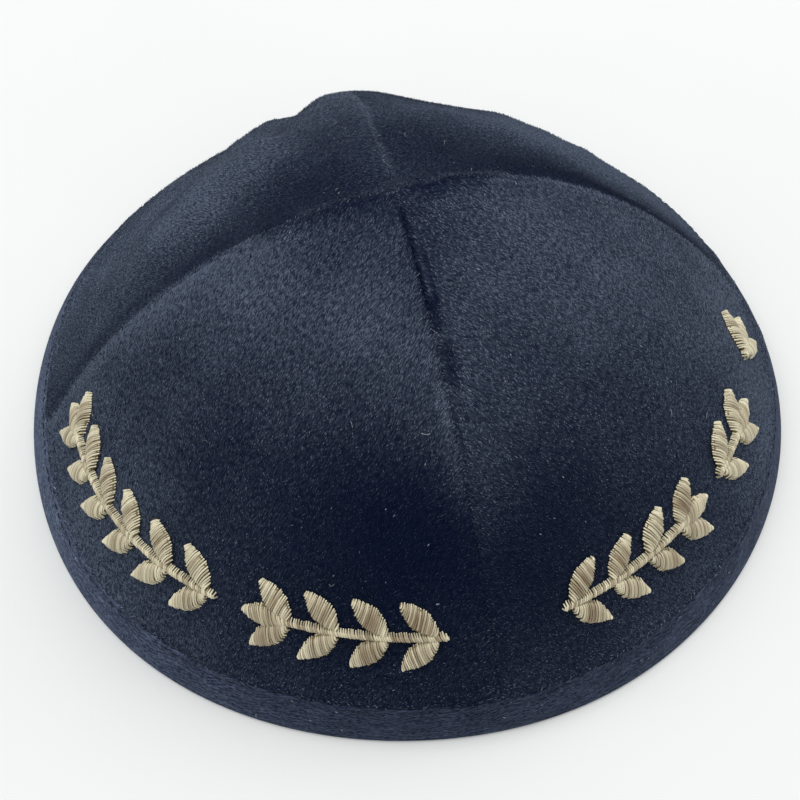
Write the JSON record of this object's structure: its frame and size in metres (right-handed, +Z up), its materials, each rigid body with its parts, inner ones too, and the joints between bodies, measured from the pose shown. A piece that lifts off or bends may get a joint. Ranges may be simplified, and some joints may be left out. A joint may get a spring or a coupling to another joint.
{
  "type": "skullcap",
  "caption": "Round velvet skullcap of curved gores that meet at the crown, with a folded tape binding round the rim and raised gold leaf sprigs on the front.",
  "frame": {"origin": "on the ground under the middle of the rim", "axes": "+Z up from the ground through the crown; -Y towards the front seam, between the two embroidered gores; +X to the right, seen from the front"},
  "size_m": [0.1796, 0.1797, 0.0629],
  "materials": {
    "velvet": "short pile velvet, very dark navy",
    "binding_tape": "fine twill tape, dark grey blue",
    "gold_thread": "satin stitched thread, pale gold"
  },
  "bodies": {
    "root": {"panel_front_left": "velvet", "panel_front_right": "velvet", "panel_back_right": "velvet", "panel_back_left": "velvet", "rim_binding": "binding_tape", "sprig_one": "gold_thread", "sprig_two": "gold_thread", "sprig_three": "gold_thread", "sprig_four": "gold_thread", "sprig_five": "gold_thread"}
  },
  "joints": []
}
